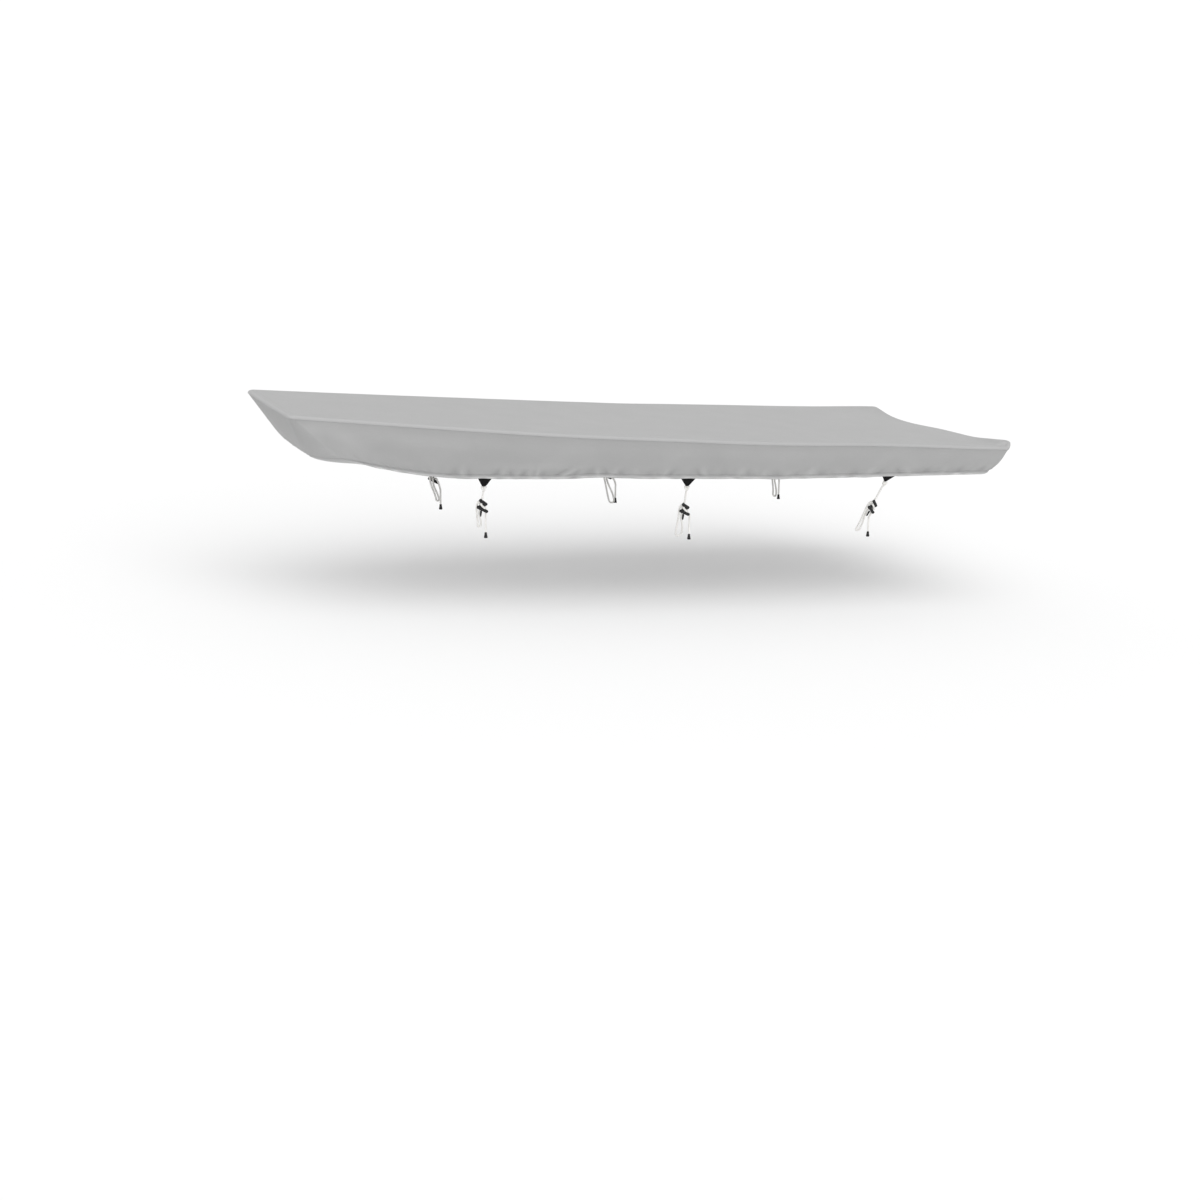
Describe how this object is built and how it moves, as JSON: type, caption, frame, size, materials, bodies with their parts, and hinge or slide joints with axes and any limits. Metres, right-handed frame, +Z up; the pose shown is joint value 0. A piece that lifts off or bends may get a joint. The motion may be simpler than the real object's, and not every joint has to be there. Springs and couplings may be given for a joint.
{
  "type": "boat cover with rope tie-downs",
  "caption": "Fitted cloth cover for a flat-bottomed boat, with a drawn hem and rope tie-downs laced through zigzag tensioners.",
  "frame": {"origin": "the middle of the top's underside, where the boat's rim and supports carry the cover", "axes": "+X aft to the stern, +Y to starboard, +Z up out of the top"},
  "size_m": [4.3443, 1.39, 0.66],
  "materials": {
    "cloth": "light grey woven polyester, matt with a faint sheen",
    "webbing": "black woven webbing",
    "braid": "white braided polyester rope",
    "moulding": "black moulded nylon"
  },
  "bodies": {
    "root": {"cover": "cloth", "tab_port_bow": "webbing", "knot_port_bow": "braid", "rope_port_bow": "braid", "tensioner_port_bow": "moulding", "bell_port_bow": "moulding", "tab_starboard_bow": "webbing", "knot_starboard_bow": "braid", "rope_starboard_bow": "braid", "tensioner_starboard_bow": "moulding", "bell_starboard_bow": "moulding", "tab_port_mid": "webbing", "knot_port_mid": "braid", "rope_port_mid": "braid", "tensioner_port_mid": "moulding", "bell_port_mid": "moulding", "tab_starboard_mid": "webbing", "knot_starboard_mid": "braid", "rope_starboard_mid": "braid", "tensioner_starboard_mid": "moulding", "bell_starboard_mid": "moulding", "tab_port_stern": "webbing", "knot_port_stern": "braid", "rope_port_stern": "braid", "tensioner_port_stern": "moulding", "bell_port_stern": "moulding", "tab_starboard_stern": "webbing", "knot_starboard_stern": "braid", "rope_starboard_stern": "braid", "tensioner_starboard_stern": "moulding", "bell_starboard_stern": "moulding"}
  },
  "joints": []
}
